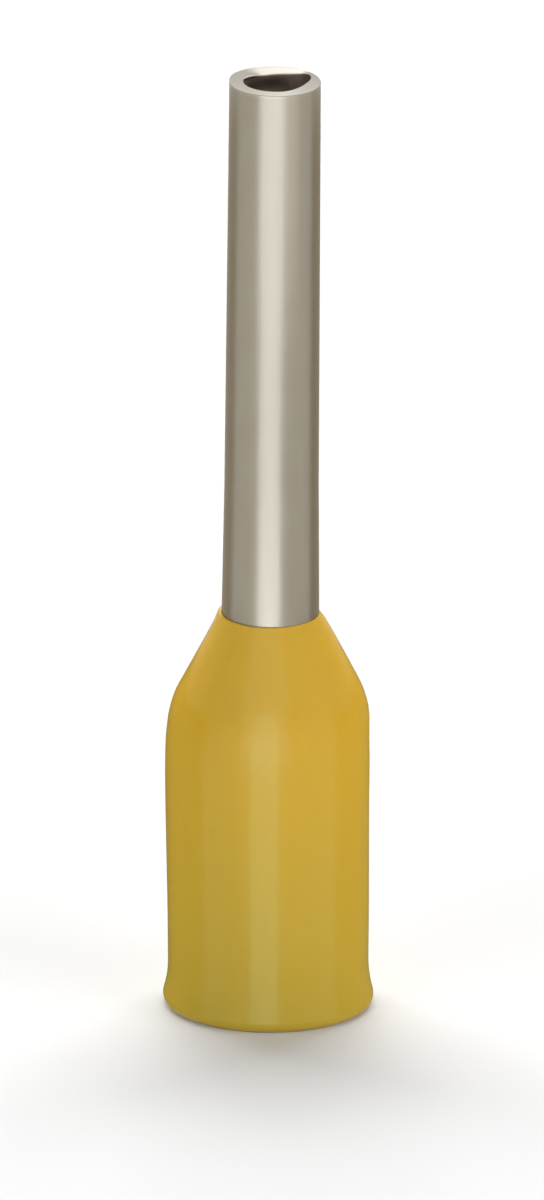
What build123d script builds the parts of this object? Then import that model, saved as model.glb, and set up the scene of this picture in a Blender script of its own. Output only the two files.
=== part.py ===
from build123d import *
import os
from math import radians, tan

# A ferrule for the end of a fine stranded wire, in millimetres. A thin tinned tube is flared
# at its inner end, and a moulded plastic collar grips it just above the flare. The ferrule
# stands on the mouth of its collar, centred on the origin, with the tube pointing up along +Z.

# Lengths of the whole ferrule
overall_length = 10.5
collar_length = 4.44

# Contact sleeve
sleeve_bore = 0.72  # straight from the tip to the swell, as the tube was drawn
sleeve_wall = 0.14
swell_length = 1.40  # stretch above the collar where the tube starts to widen
swell = 0.027  # growth of the radius along that stretch
swell_bend = 15.0  # radius of the gentle bends at both ends of the swell
flare_bend = 0.80  # radius of the bend between the neck and the flare
rim_gap = 0.03  # from the rim of the flare to the wall of the collar's bore
cut_edge = 0.02  # rounding of the edges at the cut tip

# Insulating collar
collar_bore = 1.70
collar_wall = 0.23  # thickness at the waist
cone_angle = 27.5  # half angle of the shoulder, and of the flare that seats inside it
neck_length = 0.45  # straight grip on the tube, from the top of the collar to the flare
neck_land = 0.03  # thickness of the plastic at the very top
top_edge = 0.012  # rounding of the outer edge there
grip_gap = 0.005  # clearance between the collar and the sleeve that it holds
belly = 0.023  # how far the wall stands out below the shoulder, from its draft
belly_drop = 0.97  # from the corner of the shoulder down to where the belly starts
shoulder_bend = 1.0
waist_height = 0.52  # where the wall starts to widen towards the mouth
foot_flare = 0.057  # how far the foot stands out beyond the waist
foot_height = 0.12
foot_edge = 0.04  # rounding of the foot's two edges
mouth_widening = 0.12  # growth of the bore's radius along the lead-in
lead_in_depth = 0.35


def down_the_cone(height, radius, wider_radius):
    """Height where a cone that opens downwards from a circle has grown to a wider radius."""
    return height - (wider_radius - radius) / tan(radians(cone_angle))


# Outside of the sleeve. Its flare opens until the rim nearly touches the collar's bore.
shank_radius = sleeve_bore / 2 + sleeve_wall
neck_radius = shank_radius + swell
flare_top = collar_length - neck_length
rim_radius = collar_bore / 2 - rim_gap
rim_height = down_the_cone(flare_top, neck_radius, rim_radius)

# Inside of the collar. It follows the sleeve at the clearance of the grip, round the same bend
# and down the same cone, and then runs straight to the lead-in at the mouth.
bore_radius = collar_bore / 2
grip_radius = neck_radius + grip_gap
seat_top = flare_top + grip_gap * tan(radians(cone_angle / 2))
seat_foot = down_the_cone(seat_top, grip_radius, bore_radius)
seat_bend = flare_bend - grip_gap
mouth_radius = bore_radius + mouth_widening

# Outside of the collar
waist_radius = bore_radius + collar_wall
foot_radius = waist_radius + foot_flare
land_radius = grip_radius + neck_land
shoulder_height = down_the_cone(collar_length, land_radius, waist_radius)

# Contact sleeve: the outside is drawn from the tip to the rim of the flare, the thickness of
# the wall is set off towards the axis, and this section is turned about the axis.
with BuildPart() as contact_sleeve:
    with BuildSketch(Plane.XZ):
        with BuildLine():
            FilletPolyline(
                (shank_radius, overall_length),
                (shank_radius, collar_length + swell_length),
                (neck_radius, collar_length),
                (neck_radius, flare_top),
                (rim_radius, rim_height),
                radius=[swell_bend, swell_bend, flare_bend],
            )
            offset(amount=sleeve_wall, side=Side.RIGHT, mode=Mode.ADD)
        make_face()
    revolve(axis=Axis.Z)
    tip_edges = contact_sleeve.edges().filter_by(GeomType.CIRCLE).sort_by(Axis.Z)[-2:]
    fillet(tip_edges, radius=cut_edge)

# Insulating collar: its section goes up the outside from the mouth to the neck and back down
# the bore. The foot and the belly are arcs that leave the drafted wall without a corner.
with BuildPart() as insulating_collar:
    with BuildSketch(Plane.XZ) as section:
        with BuildLine():
            Polyline((mouth_radius, 0), (foot_radius, 0), (foot_radius, foot_height))
            wall = Line(
                (waist_radius, waist_height),
                (waist_radius + belly, shoulder_height - belly_drop),
            )
            TangentArc(wall @ 0, (foot_radius, foot_height), tangent=-(wall % 0))
            TangentArc(wall @ 1, (waist_radius, shoulder_height), tangent=wall % 1)
            Polyline(
                (waist_radius, shoulder_height),
                (land_radius, collar_length),
                (grip_radius, collar_length),
            )
            FilletPolyline(
                (grip_radius, collar_length),
                (grip_radius, seat_top),
                (bore_radius, seat_foot),
                (bore_radius, lead_in_depth),
                (mouth_radius, 0),
                radius=[seat_bend, 0, 0],
            )
        make_face()
        roundings = [
            ((foot_radius, 0), foot_edge),
            ((foot_radius, foot_height), foot_edge),
            ((waist_radius, shoulder_height), shoulder_bend),
            ((land_radius, collar_length), top_edge),
        ]
        for corner, bend in roundings:
            fillet(section.vertices().sort_by_distance(corner)[0], radius=bend)
    revolve(axis=Axis.Z)

os.makedirs("parts", exist_ok=True)
contact_sleeve.part.label = "contact_sleeve"
insulating_collar.part.label = "insulating_collar"
for piece in (contact_sleeve.part, insulating_collar.part):
    export_step(piece, f"parts/{piece.label}.step")
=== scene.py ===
# %% [markdown]
# # A wire ferrule, lit and dressed
#
# A ferrule closes the end of a fine stranded wire. This one has two pieces: a thin tinned tube,
# and a yellow plastic collar that grips the tube and funnels the strands into it. The solids
# come as a fixed frame, at their real place and size, and everything here is built round them.

import bpy
import numpy as np
from mathutils import Matrix, Vector


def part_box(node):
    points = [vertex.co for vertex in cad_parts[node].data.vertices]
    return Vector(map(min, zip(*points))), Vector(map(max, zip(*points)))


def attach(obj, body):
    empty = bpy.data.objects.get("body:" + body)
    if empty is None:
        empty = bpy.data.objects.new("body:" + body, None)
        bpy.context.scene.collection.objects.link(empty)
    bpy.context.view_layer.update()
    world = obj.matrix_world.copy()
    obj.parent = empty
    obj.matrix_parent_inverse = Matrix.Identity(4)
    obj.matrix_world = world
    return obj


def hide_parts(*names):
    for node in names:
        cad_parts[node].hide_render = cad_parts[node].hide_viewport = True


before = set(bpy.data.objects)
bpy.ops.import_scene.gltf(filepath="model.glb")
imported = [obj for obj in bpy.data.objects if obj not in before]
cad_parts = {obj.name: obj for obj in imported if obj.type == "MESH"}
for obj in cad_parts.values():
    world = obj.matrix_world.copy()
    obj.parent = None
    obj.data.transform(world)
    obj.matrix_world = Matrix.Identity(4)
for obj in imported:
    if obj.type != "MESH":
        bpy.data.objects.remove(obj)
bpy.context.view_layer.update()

# %% [markdown]
# ## Sizes
#
# Drawings of such a small part are in millimetres and Blender works in metres, so every size
# below is written in millimetres and multiplied once, where a mesh or a lamp is made. Sizes
# that the solids already fix are read from their boxes, so the dressed pieces can't drift.

# %% Sizes in millimetres
MM = 0.001  # metres in a millimetre
sleeve_low, sleeve_high = [np.array(corner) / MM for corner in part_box("contact_sleeve")]
collar_low, collar_high = [np.array(corner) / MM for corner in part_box("insulating_collar")]
TIP = sleeve_high[2]  # height of the open end of the tube
COLLAR_TOP = collar_high[2]
FLARE_RADIUS = min(*sleeve_high[:2], *-sleeve_low[:2])  # smallest of the four half widths
FLARE_FOOT = sleeve_low[2]
FOOT_RADIUS = min(*collar_high[:2], *-collar_low[:2])
INSET = 0.001  # at their widest the dressed pieces stay this far inside the solids' boxes
print("heights: tip", TIP, "collar", COLLAR_TOP, "flare", FLARE_FOOT)
print("radii: flare", FLARE_RADIUS, "foot", FOOT_RADIUS)

# %% [markdown]
# ## Camera
#
# A part a centimetre long is photographed from far away with a long lens, so its outline shows
# hardly any perspective. An orthographic camera gives that flat view. It looks down a little,
# and its small roll is the lean of the picture.

# %% Camera
ELEVATION = np.radians(19.2)
ROLL = np.radians(0.39)
FRAME_HEIGHT = 12.94  # millimetres from the bottom to the top of the picture
AIM = Vector((0.016, 0.0, 4.571))
CAMERA_DISTANCE = 60.0

back = Vector((0.0, -np.cos(ELEVATION), np.sin(ELEVATION)))
camera_data = bpy.data.cameras.new("camera")
camera_data.type = "ORTHO"
camera_data.ortho_scale = FRAME_HEIGHT * MM
camera_data.clip_start, camera_data.clip_end = 0.001, 1.0
camera = bpy.data.objects.new("camera", camera_data)
bpy.context.scene.collection.objects.link(camera)
camera.matrix_world = (
    Matrix.Translation((AIM + back * CAMERA_DISTANCE) * MM)
    @ back.to_track_quat("Z", "Y").to_matrix().to_4x4()
    @ Matrix.Rotation(ROLL, 4, "Z")
)
bpy.context.scene.camera = camera
bpy.context.scene.view_settings.view_transform = "Standard"
print("camera", [round(value, 4) for value in camera.matrix_world.translation], "m")

# %% [markdown]
# ## Writing shader maths
#
# Materials need sums such as `0.3 + 0.1 * grain`. A small class wraps the output of a node, so
# that a sum written in Python adds its Math nodes. Any other node comes from one method, which
# sets the node's own settings first and then the values or links of its sockets.


# %% Signals
class Signal:
    """An output of a node. Sums and products of signals become Math nodes."""

    def __init__(self, tree, output=None):
        self.tree, self.output = tree, output

    def node(self, kind, settings=None, sockets=None, output=0):
        """Adds a node of a kind. Its settings come first, then the values or links of its
        sockets, and one of its outputs is the new signal."""
        made = self.tree.nodes.new(kind)
        for name, value in (settings or {}).items():
            setattr(made, name, value)
        for name, value in (sockets or {}).items():
            if isinstance(value, Signal):
                self.tree.links.new(value.output, made.inputs[name])
            else:
                made.inputs[name].default_value = value
        return Signal(self.tree, made.outputs[output] if made.outputs else None)

    def maths(self, operation, first, second):
        """A Math node that works on two signals or numbers."""
        return self.node("ShaderNodeMath", {"operation": operation}, {0: first, 1: second})

    def __add__(self, other):
        return self.maths("ADD", self, other)

    __radd__ = __add__

    def __mul__(self, other):
        return self.maths("MULTIPLY", self, other)

    __rmul__ = __mul__


def seen_rays(tree):
    """1 for rays that come from the camera, a mirror or glass, and 0 for those that only light."""
    start = Signal(tree)
    camera_ray, glossy, through = [
        start.node("ShaderNodeLightPath", output=name)
        for name in ("Is Camera Ray", "Is Glossy Ray", "Is Transmission Ray")
    ]
    return start.maths("MINIMUM", camera_ray + glossy + through, 1.0)


# %% [markdown]
# ## Floor and surroundings
#
# The ferrule stands on white paper in a white room. Paper that is merely well lit photographs
# as light grey, and turning the lamps up would burn out the plastic. So the paper keeps the
# shadow by diffuse shading and adds a little glow, and the room is white, only where they are
# seen: directly, in the metal, or through glass. The light that falls on the part stays plain.

# %% Floor
FLOOR_HALF = 400.0  # half of the paper's side, far more than the camera sees
PAPER_WHITE = 0.70
PAPER_GLOW = 0.075  # added where the paper is seen, not where it lights the part

floor_mesh = bpy.data.meshes.new("floor")
corners = np.array([(-1, -1, 0), (1, -1, 0), (1, 1, 0), (-1, 1, 0)]) * FLOOR_HALF * MM
floor_mesh.from_pydata(corners, [], [(0, 1, 2, 3)])
floor = bpy.data.objects.new("floor", floor_mesh)
bpy.context.scene.collection.objects.link(floor)

paper = bpy.data.materials.new("paper")
paper.use_nodes = True
paper.node_tree.nodes.clear()
seen = seen_rays(paper.node_tree)
lit = seen.node("ShaderNodeBsdfDiffuse", sockets={"Color": (PAPER_WHITE,) * 3 + (1,)})
glow = seen.node("ShaderNodeEmission", sockets={"Strength": PAPER_GLOW * seen})
both = seen.node("ShaderNodeAddShader", sockets={0: lit, 1: glow})
both.node("ShaderNodeOutputMaterial", sockets={"Surface": both})
floor_mesh.materials.append(paper)

# %% Surroundings
ROOM_LIGHT = 0.15  # strength of the light that the room itself throws on the part
ROOM_SEEN = 1.0  # and of the white that the camera and the metal see

world = bpy.data.worlds.new("room")
bpy.context.scene.world = world
world.use_nodes = True
world.node_tree.nodes.clear()
seen = seen_rays(world.node_tree)
strength = ROOM_LIGHT + (ROOM_SEEN - ROOM_LIGHT) * seen
room = seen.node("ShaderNodeBackground", sockets={"Strength": strength})
room.node("ShaderNodeOutputWorld", sockets={"Surface": room})
print("room light", ROOM_LIGHT, "paper", PAPER_WHITE, "+", PAPER_GLOW)

# %% [markdown]
# ## Lamps
#
# Five broad lamps far away light the part and the paper. Three hang side by side, high behind
# the part, and throw one wide soft shadow forwards. Two low ones in front, a warmer one on the
# right and a cooler one on the left, even out the plastic. The metal mirrors none of them, so
# its shine can be laid out by itself in the next step.


# %% Broad lamps
def far_lamp(name, bearing, elevation, spread, level, tint):
    """A lamp that is a wide disc of sky, spread degrees across. Its bearing is 0 in front and
    90 on the right, and its elevation is the angle above the paper. The strength is pi times
    the level, so a white surface that faces the lamp gets just the level's brightness."""
    data = bpy.data.lights.new(name, "SUN")
    data.angle = np.radians(spread)
    data.energy = np.pi * level
    data.color = tint
    lamp = bpy.data.objects.new(name, data)
    bpy.context.scene.collection.objects.link(lamp)
    bearing, elevation = np.radians(bearing), np.radians(elevation)
    sideways, forwards = np.sin(bearing), -np.cos(bearing)
    flat = np.cos(elevation)
    towards = Vector((sideways * flat, forwards * flat, np.sin(elevation)))
    lamp.rotation_euler = towards.to_track_quat("Z", "Y").to_euler()
    lamp.visible_camera = lamp.visible_glossy = False


NEAR_WHITE = (0.98, 0.99, 1.0)
WARM = (1.0, 0.97, 0.95)
COOL = (0.97, 1.0, 0.99)

# bearing, elevation and spread in degrees, level, tint
far_lamp("overhead_left", 213, 44, 28, 0.46, NEAR_WHITE)
far_lamp("overhead_middle", 183, 43, 24, 0.55, NEAR_WHITE)
far_lamp("overhead_right", 153, 44, 28, 0.42, NEAR_WHITE)
far_lamp("fill_right", 58, 14, 46, 0.63, WARM)
far_lamp("fill_left", -47, 14, 46, 0.44, COOL)

# %% [markdown]
# ## What the gloss shows
#
# Satin metal shows what stands round it, so its light is laid out round it piece by piece. The
# tube mirrors the space in front of it: an upper, a lower and a core window there draw the
# bright band down its length, and a dim one at the side lets the band fade to the right. Two
# narrow low windows close to the part do the same for the collar. The flat cut end mirrors the
# space high behind, where a large window lights its face and a tiny one its front lip, and one
# more window gives the back of the part its shine. Diffuse surfaces don't see any of them.


# %% Windows
def window(name, centre, size, brightness, bearing=0, tint=(1.0, 1.0, 1.0)):
    """An upright lamp that only glossy surfaces see. Its centre and size are those of a window
    in front of the part, which is then turned about the axis to its bearing. Its power is its
    brightness times pi times its area."""
    data = bpy.data.lights.new(name, "AREA")
    data.shape = "RECTANGLE"
    data.size, data.size_y = size[0] * MM, size[1] * MM
    data.energy = brightness * np.pi * data.size * data.size_y
    data.color = tint
    lamp = bpy.data.objects.new(name, data)
    bpy.context.scene.collection.objects.link(lamp)
    turn = Matrix.Rotation(np.radians(bearing), 4, "Z")
    upright = Vector((0, -1, 0)).to_track_quat("Z", "Y").to_matrix().to_4x4()
    lamp.matrix_world = turn @ Matrix.Translation(Vector(centre) * MM) @ upright
    lamp.visible_camera = lamp.visible_diffuse = False


SKY_BLUE = (0.93, 1.0, 1.2)
PALE_BLUE = (0.95, 1.0, 1.12)
BEHIND = 180

# centre and size in millimetres, brightness, bearing in degrees, tint
window("window_upper", (-0.62, -5.0, 10.4), (5.8, 8.4), 1.42, tint=SKY_BLUE)
window("window_lower", (-0.55, -5.0, 4.1), (4.7, 4.2), 1.30, tint=SKY_BLUE)
window("window_core", (-0.2, -5.1, 2.9), (5.4, 2.2), 0.50, tint=SKY_BLUE)
window("window_side", (0.0, -5.0, 8.6), (3.0, 4.0), 0.40, bearing=42)
window("window_low", (-0.08, -1.45, 1.98), (0.50, 3.92), 2.3)
window("window_low_wide", (-0.08, -1.46, 1.98), (0.86, 3.92), 0.4)
window("window_back", (0.0, -7.0, 18.6), (10.0, 7.8), 2.6, BEHIND, PALE_BLUE)
window("window_tip", (-0.07, -1.9, 11.3), (0.36, 0.4), 1.2, BEHIND)
window("window_behind", (0.0, -4.2, 5.2), (1.6, 8.0), 1.1, BEHIND)

# %% [markdown]
# A round piece in a white room would be pale right up to its edges and look flat. Dull curved
# cards at its sides and back, which only gloss sees, darken it towards both edges. A tall pair
# stands round the tube. The collar has a lower, nearer and darker pair, with a foot that lies
# on the paper, because the lowest part of the collar mirrors the paper next to it.


# %% Cards
CARD_COLUMNS = 25


def card(name, first, last, profile, tone):
    """A curved card: its profile of radii and heights, carried from one bearing to another.
    x is the radius times the sine of the bearing and y the radius times minus its cosine."""
    bearing = np.radians(np.linspace(first, last, CARD_COLUMNS))
    radius, height = np.array(profile).T[:, :, None]
    flat = 0 * bearing
    grid = np.stack([radius * np.sin(bearing), -radius * np.cos(bearing), height + flat], -1)
    number = np.arange(grid[..., 0].size).reshape(grid.shape[:2])
    corners = (number[:-1, :-1], number[:-1, 1:], number[1:, 1:], number[1:, :-1])
    mesh = bpy.data.meshes.new(name)
    mesh.from_pydata(grid.reshape(-1, 3) * MM, [], np.stack(corners, -1).reshape(-1, 4))
    piece = bpy.data.objects.new(name, mesh)
    bpy.context.scene.collection.objects.link(piece)
    material = bpy.data.materials.new(name)
    material.use_nodes = True
    material.node_tree.nodes.clear()
    dull = Signal(material.node_tree).node("ShaderNodeEmission", sockets={"Color": tone + (1,)})
    dull.node("ShaderNodeOutputMaterial", sockets={"Surface": dull})
    mesh.materials.append(material)
    piece.visible_camera = piece.visible_diffuse = piece.visible_shadow = False


tall = ((4.5, 0.01), (4.5, 9.0))  # radius and height of each corner of the profile
low = ((1.16, 0.01), (2.0, 0.01), (2.0, 3.75))
card("card_left", -100, -180, tall, (0.58, 0.52, 0.43))
card("card_right", 101, 180, tall, (0.53, 0.47, 0.38))
card("card_low_left", -58, -180, low, (0.12, 0.11, 0.06))
card("card_low_right", 62, 180, low, (0.22, 0.19, 0.10))

# %% [markdown]
# ## Turned surfaces
#
# Both pieces are bodies of revolution: one closed outline, carried once round the axis. The
# outline is given by its corners, and each corner gets a bend, because neither a drawn tube
# nor a moulding has a truly sharp edge. Turning the outline gives a grid of points that
# closes on itself both ways, so there is no seam and no pole.


# %% Outlines
ARC_STEPS = 9  # points along each bend


def rounded_outline(corners, bends):
    """A closed outline with an arc at each corner.

    A bend of radius r that turns by an angle starts r times the tangent of half the angle
    before its corner. Its centre lies r to the side there, and each point of the arc is the
    centre plus the first spoke, turned by a share of the angle."""
    corners, bends = np.array(corners, float), np.array(bends, float)[:, None]
    leaving = np.roll(corners, -1, axis=0) - corners
    leaving /= np.linalg.norm(leaving, axis=1, keepdims=True)
    arriving = np.roll(leaving, 1, axis=0)
    cross = arriving[:, 0] * leaving[:, 1] - arriving[:, 1] * leaving[:, 0]
    turn = np.arctan2(cross, (arriving * leaving).sum(1))[:, None]
    side = np.stack([-arriving[:, 1], arriving[:, 0]], 1) * np.sign(turn)
    centre = corners - arriving * bends * np.tan(abs(turn) / 2) + side * bends
    spoke = -side * bends
    angle = turn * np.linspace(0, 1, ARC_STEPS)
    across = centre[:, :1] + np.cos(angle) * spoke[:, :1] - np.sin(angle) * spoke[:, 1:]
    up = centre[:, 1:] + np.sin(angle) * spoke[:, :1] + np.cos(angle) * spoke[:, 1:]
    return np.stack([across, up], -1).reshape(-1, 2)


def stepped(outline, longest):
    """The outline with each side cut into equal parts, none longer than the step given. A
    point is the side's start plus its whole number of parts, as a share of the side."""
    side = np.roll(outline, -1, axis=0) - outline
    parts = np.ceil(np.linalg.norm(side, axis=1) / longest).astype(int)
    first = np.repeat(np.cumsum(parts) - parts, parts)
    share = (np.arange(parts.sum()) - first) / np.repeat(parts, parts)
    return np.repeat(outline, parts, axis=0) + np.repeat(side, parts, axis=0) * share[:, None]


# %% Turning and meshing
def turned(outline, columns):
    """The outline carried round the axis: x is the radius times the cosine of the angle, y the
    radius times its sine, and z the height. Gives the radius, angle and height on a grid."""
    angle = np.linspace(0, 2 * np.pi, columns, endpoint=False)
    radius, height = np.repeat(outline[:, None, :], columns, axis=1).transpose(2, 0, 1)
    return radius, np.broadcast_to(angle, radius.shape), height


def closed_surface(name, radius, angle, height, shift, marks):
    """A piece from a grid that closes on itself both ways, with smooth faces between
    neighbours. The shift moves points towards +X, and marks are numbers kept at each point
    for the finish. The volume is a sixth of the sum of each triangle's triple product, which
    is positive when the faces point outwards."""
    grid = np.stack([radius * np.cos(angle) + shift, radius * np.sin(angle), height], -1)
    number = np.arange(radius.size).reshape(radius.shape)
    above = np.roll(number, -1, axis=0)
    ring = (number, np.roll(number, -1, axis=1), np.roll(above, -1, axis=1), above)
    faces = np.stack(ring, -1).reshape(-1, 4)
    points = grid.reshape(-1, 3)
    mesh = bpy.data.meshes.new(name)
    mesh.from_pydata(points * MM, [], faces)
    mesh.shade_smooth()
    for label, values in marks.items():
        kept = mesh.attributes.new(label, "FLOAT", "POINT")
        kept.data.foreach_set("value", np.broadcast_to(values, radius.shape).ravel())
    piece = bpy.data.objects.new(name, mesh)
    bpy.context.scene.collection.objects.link(piece)
    a, b, c, d = points[faces.T]
    volume = ((np.cross(a, b) * c).sum() + (np.cross(a, c) * d).sum()) / 6
    print(f"{name}: {len(faces) * 2} triangles, {volume:.3f} mm3,",
          "box", points.min(0).round(3), points.max(0).round(3))
    return piece


# %% Smooth shares
def smooth_step(value, start, end):
    """0 before start and 1 after end, and between them 3 s squared less 2 s cubed."""
    share = np.clip((value - start) / (end - start), 0, 1)
    return share * share * (3 - 2 * share)


def plateau(value, rise, fall):
    """A smooth step up along the rise, times one less a smooth step down along the fall."""
    return smooth_step(value, *rise) * (1 - smooth_step(value, *fall))


# %% [markdown]
# ## The collar
#
# The collar is moulded in one soft plastic. Its wall swells a little below the shoulder, where
# the moulding is thickest, draws in at the waist and flares to a rounded foot. Inside, a
# narrow grip holds the tube, and its seat follows the flare of the tube down to a plain bore
# with a wide lead-in. A short list of corners says all of that. Such a piece comes out of the
# mould slightly uneven: the side that cools last stays fuller, and the thin lip at the neck is
# wider there, so the turned grid is pushed a few hundredths of a millimetre afterwards.

# %% Collar outline
WALL_BEND = 9.0
GRIP_RADIUS = 0.528
BORE_RADIUS = 0.85
MOUTH_RADIUS = 0.97

collar_corners = {  # radius and height of each corner, and its bend
    "foot": (FOOT_RADIUS - INSET, 0.0, 0.09),
    "foot top": (FOOT_RADIUS - INSET, 0.116, 0.08),
    "waist": (1.0789, 0.32, 1.35),
    "belly": (1.1055, 2.85, WALL_BEND),
    "shoulder": (1.0792, 3.411, 1.0),
    "lip": (0.5505, COLLAR_TOP, 0.017),
    "grip": (GRIP_RADIUS, COLLAR_TOP, 0.002),
    "seat": (GRIP_RADIUS, 3.991, 0.795),
    "seat foot": (BORE_RADIUS, 3.380, 0.02),
    "bore": (BORE_RADIUS, 0.35, 0.02),
    "mouth": (MOUTH_RADIUS, 0.0, 0.015),
}
collar_table = np.array(list(collar_corners.values()))
collar_outline = rounded_outline(collar_table[:, :2], collar_table[:, 2])
collar_outline = stepped(collar_outline, longest=0.06)
print("collar outline:", len(collar_outline), "points")

# %% Collar surface
BELLY_LEAN = 0.022  # how far the belly sits towards -X
CONE_LEAN = 0.007  # and how far the cone and the foot sit towards +X
FOOT_LEAN = 0.004
LIP_WIDER = 0.018  # growth of the lip's width on the -X side
LIP_NARROWER = 0.15  # share of it that the lip loses all round
FOOT_WEAR = 0.3  # wear of the foot, where the lip's is 1

radius, angle, height = turned(collar_outline, columns=256)
belly = plateau(height, (0.6, 2.65), (2.95, 3.50))
cone = plateau(height, (3.45, 3.65), (4.05, 4.40))
foot = 1 - smooth_step(height, 0.3, 0.6)
lean = CONE_LEAN * cone - BELLY_LEAN * belly + FOOT_LEAN * foot
outside = smooth_step(radius, GRIP_RADIUS + 0.004, GRIP_RADIUS + 0.020)
near_lip = smooth_step(height, 4.33, COLLAR_TOP) * outside
radius = radius + LIP_WIDER * near_lip * (-np.cos(angle) - LIP_NARROWER)
worn_foot = FOOT_WEAR * (1 - smooth_step(height, 0.02, 0.16))
edge_wear = np.maximum(near_lip**4, worn_foot)
collar = closed_surface(
    "collar_surface", radius, angle, height, lean, {"edge_wear": edge_wear}
)

# %% [markdown]
# ### Finish of the collar
#
# The plastic is one strong yellow, even at first sight, with a silky gloss. Close up its colour
# drifts a little where the melt flowed, the skin has a fine grain from the mould, and the edges
# are rubbed slightly paler. Towards the foot the yellow is painted darker and greener, as
# painted shade near the paper. Its highlight is greenish. A coloured lamp would show as a
# streak from above, so the shader's own tint of the reflection holds back the red instead.


# %% Helpers for finishes
def new_finish(name):
    """A material, a signal to build its nodes from, and its main shader."""
    material = bpy.data.materials.new(name)
    material.use_nodes = True
    tree = material.node_tree
    place = Signal(tree).node("ShaderNodeTexCoord", output="Object")
    return material, place, tree.nodes["Principled BSDF"]


def noise(place, scale, detail, roughness=0.5):
    """Soft noise from about 0 to 1, with so many bumps to a millimetre."""
    sockets = {"Vector": place, "Scale": scale / MM, "Detail": detail, "Roughness": roughness}
    return place.node("ShaderNodeTexNoise", sockets=sockets)


def mark(place, name):
    """The numbers that the mesh keeps under a name at its points."""
    return place.node("ShaderNodeAttribute", {"attribute_name": name}, output="Fac")


def blend(amount, first, second):
    """A colour between two, by a signal from 0 to 1. A Mix node keeps the sockets of all its
    kinds, and those for colour are 6 and 7 going in and 2 coming out."""
    sockets = {0: amount, 6: first, 7: second}
    return amount.node("ShaderNodeMix", {"data_type": "RGBA"}, sockets, output=2)


def dress(shader, **sockets):
    """Sets or links sockets of the main shader."""
    tree = shader.id_data
    for name, value in sockets.items():
        socket = shader.inputs[name.replace("_", " ")]
        if isinstance(value, Signal):
            tree.links.new(value.output, socket)
        else:
            socket.default_value = value


# %% Yellow plastic
# Painted shade: below the height that follows, the yellow is painted darker and greener down to
# the foot.
FOOT_SHADE_FROM = 3.6  # height from which the yellow turns greener, down to the foot
DEEP_YELLOW = (0.618, 0.360, 0.026, 1)
LIGHT_YELLOW = (0.658, 0.391, 0.031, 1)
# the darker, greener yellow of the painted shade at the foot
FOOT_SHADE_YELLOW = (0.505, 0.352, 0.037, 1)
SPECKLE_YELLOW = (0.530, 0.325, 0.024, 1)
WORN_YELLOW = (0.660, 0.420, 0.060, 1)

plastic, place, shader = new_finish("yellow_plastic")
flow = noise(place, 0.9, 3.0)
speckle = noise(place, 14.0, 2.0)
grain = noise(place, 45.0, 3.0, 0.6)
up = place.node("ShaderNodeSeparateXYZ", sockets={"Vector": place}, output="Z")
# share of painted shade, from 0 at that height to 1 at the foot
low = place.node(
    "ShaderNodeMapRange",
    sockets={"Value": up, "From Min": FOOT_SHADE_FROM * MM, "From Max": 0.0},
)
tone = blend(flow, DEEP_YELLOW, LIGHT_YELLOW)
# painted shade: darker and greener towards the foot
tone = blend(low, tone, FOOT_SHADE_YELLOW)
tone = blend(0.25 * speckle, tone, SPECKLE_YELLOW)
tone = blend(0.20 * mark(place, "edge_wear"), tone, WORN_YELLOW)
bump = place.node(
    "ShaderNodeBump", sockets={"Strength": 0.5, "Distance": 0.003 * MM, "Height": grain}
)
dress(
    shader,
    Base_Color=tone,
    Roughness=0.13 + 0.04 * grain + 0.03 * flow,
    Normal=bump,
    Specular_IOR_Level=0.22,
    Specular_Tint=(0.1, 1.0, 1.0, 1),
)
collar.data.materials.append(plastic)

# %% [markdown]
# ## The sleeve
#
# The tube is drawn from soft copper and tinned, then cut off by a shear and flared at its
# other end. Its outline goes up the outside and down the bore, so the wall is a real one, and
# its long bends make the hardly visible taper towards the tip. A finer step near the tip gives
# the next part of the lesson enough points to shape.

# %% Sleeve outline
BORE = 0.355
WALL = 0.14
TIP_RADIUS = 0.494
NECK_RADIUS = 0.527
LONG_BEND = 15.0
FINE_DEPTH = 0.25  # length of the finely stepped end
FINE_STEP = 0.012

sleeve_corners = {
    "flare rim": (FLARE_RADIUS - INSET, 3.427, 0.012),
    "flare": (NECK_RADIUS, 3.990, 0.80),
    "neck": (NECK_RADIUS, COLLAR_TOP, LONG_BEND),
    "swell": (0.5095, 5.90, LONG_BEND),
    "tip outside": (TIP_RADIUS, TIP, 0.010),
    "tip inside": (BORE, TIP, 0.010),
    "bore": (BORE + 0.005, 5.84, LONG_BEND),
    "inner neck": (NECK_RADIUS - WALL, COLLAR_TOP, LONG_BEND),
    "inner flare": (NECK_RADIUS - WALL, 3.9557, 0.94),
    "flare edge": (0.6958, FLARE_FOOT + INSET, 0.012),
}
sleeve_table = np.array(list(sleeve_corners.values()))
sleeve_outline = rounded_outline(sleeve_table[:, :2], sleeve_table[:, 2])
sleeve_outline = stepped(sleeve_outline, longest=0.08)
at_end = sleeve_outline[:, 1] > TIP - FINE_DEPTH
sleeve_outline = stepped(sleeve_outline, longest=np.where(at_end, FINE_STEP, 1.0))
print("sleeve outline:", len(sleeve_outline), "points")

# %% [markdown]
# ### The sheared tip
#
# A shear squeezes soft copper before it cuts. It presses the opening flat at the back, where
# the lip then slopes inwards, tears a nick at the corner where the blade comes through, and
# leaves a small burr on the outside. Every one of these marks is a depth, times a share that
# rises and falls with the angle, times a share that fades below the tip, so they add up to one
# smooth grid. The angle is 0 at +X and 90 degrees at the back.


# %% Shape of the opening
def reach(angle, centre, size):
    """How far a circle lies from the axis along each angle: the part of its centre that lies
    along the angle, plus the root of its radius squared less the square of the rest."""
    along = centre[0] * np.cos(angle) + centre[1] * np.sin(angle)
    return along + np.sqrt(size**2 - centre[0] ** 2 - centre[1] ** 2 + along**2)


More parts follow.
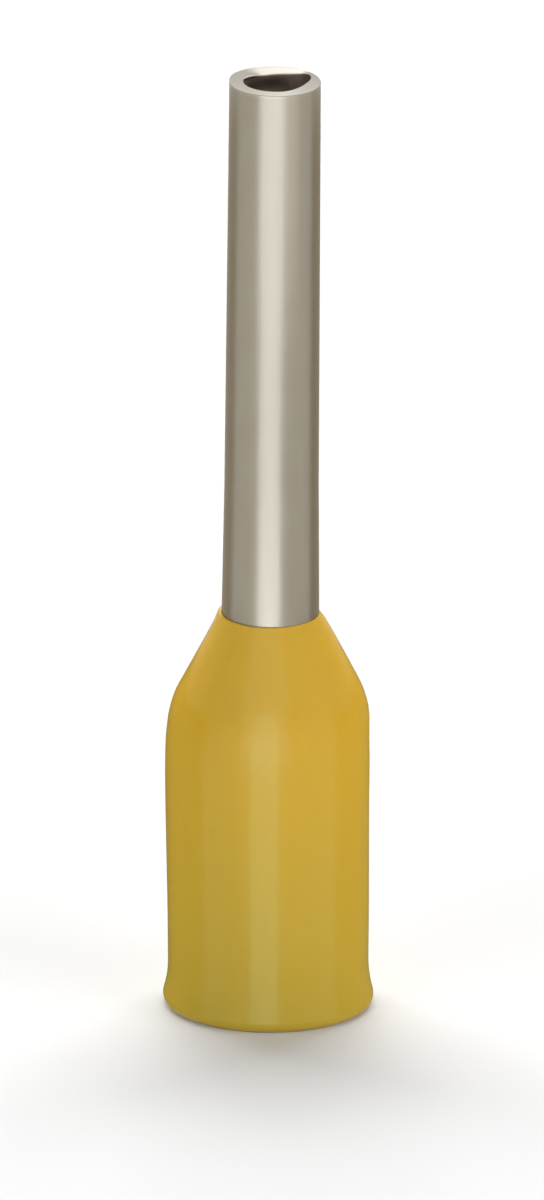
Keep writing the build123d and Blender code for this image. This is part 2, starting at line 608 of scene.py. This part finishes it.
DRAWN_CIRCLE = (0.010, 0.0), 0.352  # centre and radius of the opening as it was drawn
PRESSED_CIRCLE = (0.11, -0.212), 0.525  # a wider one, whose back is flatter
NICK = 0.068  # depth of the nick
NICK_START, NICK_TURN, NICK_POWER = -12, 41, 1.4  # it deepens over so many degrees
FLAT = 0.032  # how far the front of the opening is straightened
LIP_DROP = 0.030  # how much lower the pressed lip lies at the opening
BACK_PER_DROP = 2.4  # how far back the pressed edge moves for a drop, see below

radius, angle, height = turned(sleeve_outline, columns=320)
degrees = np.degrees(angle)
signed = (degrees + 180) % 360 - 180
nick = NICK * np.clip((signed - NICK_START) / NICK_TURN, 0, 1) ** NICK_POWER
nick = nick * (1 - smooth_step(signed, 60, 120))
flat = FLAT * plateau(signed, (-80, -35), (-25, 20))

# The lip drops over a shorter turn than an even slope would. Seen from the camera's height, an
# edge that lies lower looks nearer, so it moves back by the difference and still looks straight.
sloped = plateau(degrees, (28, 56), (114, 150))
even = plateau(degrees, (28, 69), (105, 163))
pressed = reach(angle, *PRESSED_CIRCLE) + BACK_PER_DROP * LIP_DROP * (sloped - even)
change = np.minimum(reach(angle, *DRAWN_CIRCLE) + nick - flat, pressed) - BORE
print(f"opening: from {BORE + change.min():.3f} to {BORE + change.max():.3f} mm off the axis")

# %% Sheared tip
LIP_DEPTH = 0.22  # so far below the tip the bore is no longer pressed
TEAR_DEPTH, TEAR_FULL = 1.20, 0.10  # and so far below it the nick starts and is at its deepest
BURR = 0.018
RIM_DROP = 0.010  # how much lower the outer edge lies on the +X side
TIP_LEAN = 0.0019  # sideways, for each millimetre above the collar

across = np.clip((TIP_RADIUS - radius) / (TIP_RADIUS - BORE), 0, 1)  # 1 at the bore
close = smooth_step(height, TIP - LIP_DEPTH, TIP)
deep = smooth_step(height, TIP - TEAR_DEPTH, TIP - TEAR_FULL)
burr = plateau(degrees, (95, 140), (150, 184))
radius = radius + across * change * np.where(change > 0, deep, close)
radius = radius + BURR * burr * (1 - across) * close
height = height - LIP_DROP * sloped * across * close
height = height - RIM_DROP * close * (1 - across) * (1 + np.cos(angle)) / 2
cut = smooth_step(height, TIP - 0.05, TIP - 0.02) * close**8
inside = smooth_step(across, 0.6, 0.95) * (1 - cut)
# Painted shade: a mark that darkens the bore inside the mouth at the nick.
painted_nick_shade = inside * nick / NICK
lean = TIP_LEAN * np.maximum(height - COLLAR_TOP, 0)
sleeve = closed_surface(
    "sleeve_surface", radius, angle, height, lean,
    {"cut_face": cut, "inside": inside, "painted_nick_shade": painted_nick_shade},
)

# %% [markdown]
# ### Finish of the sleeve
#
# Tin over drawn copper is a warm grey metal with a satin shine. The drawing leaves fine lines
# along the tube, which are noise stretched along its length, and handling leaves cloudy patches
# where the shine is a little duller. The cut face is fresh and pale, and the bore is dull with
# more copper in its colour. Inside the mouth at the nick the bore is painted dark, as painted
# shade. The mesh keeps where these are.

# %% Tinned copper
DARK_TIN = (0.308, 0.275, 0.211, 1)
LIGHT_TIN = (0.345, 0.313, 0.246, 1)
LINE_TIN = (0.275, 0.245, 0.185, 1)
FRESH_CUT = (0.430, 0.392, 0.325, 1)
BORE_COPPER = (0.430, 0.345, 0.265, 1)
# the dark tone of the painted shade inside the mouth at the nick
NICK_SHADE_TONE = (0.200, 0.150, 0.110, 1)
STRETCH = (1, 1, 0.03)  # draws the noise out along the tube

tin, place, shader = new_finish("tinned_copper")
drawn = place.node(
    "ShaderNodeMapping", {"vector_type": "POINT"}, {"Scale": STRETCH, "Vector": place}
)
lines = noise(drawn, 30.0, 3.0, 0.6)
clouds = noise(place, 2.2, 3.0, 0.55)
pits = noise(place, 40.0, 2.0)
bore_side = mark(place, "inside")
tone = blend(clouds, DARK_TIN, LIGHT_TIN)
tone = blend(0.35 * lines, tone, LINE_TIN)
tone = blend(0.40 * mark(place, "cut_face"), tone, FRESH_CUT)
tone = blend(0.90 * bore_side, tone, BORE_COPPER)
# painted shade inside the mouth at the nick
tone = blend(0.70 * mark(place, "painted_nick_shade"), tone, NICK_SHADE_TONE)
bump = place.node(
    "ShaderNodeBump",
    sockets={"Strength": 0.35, "Distance": 0.002 * MM, "Height": lines + 0.5 * pits},
)
dress(
    shader,
    Base_Color=tone,
    Metallic=1.0,
    Roughness=0.24 + 0.08 * lines + 0.06 * clouds + 0.30 * bore_side,
    Normal=bump,
)
sleeve.data.materials.append(tin)

# %% [markdown]
# ## Handing over
#
# Each surface rides with the one body of the part and stands for its solid, which is hidden.
# Its finish was given above.

# %% Hand over
for piece, node, slot in (
    (sleeve, "contact_sleeve", "tinned_copper"),
    (collar, "insulating_collar", "yellow_plastic"),
):
    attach(piece, "root")
    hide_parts(node)
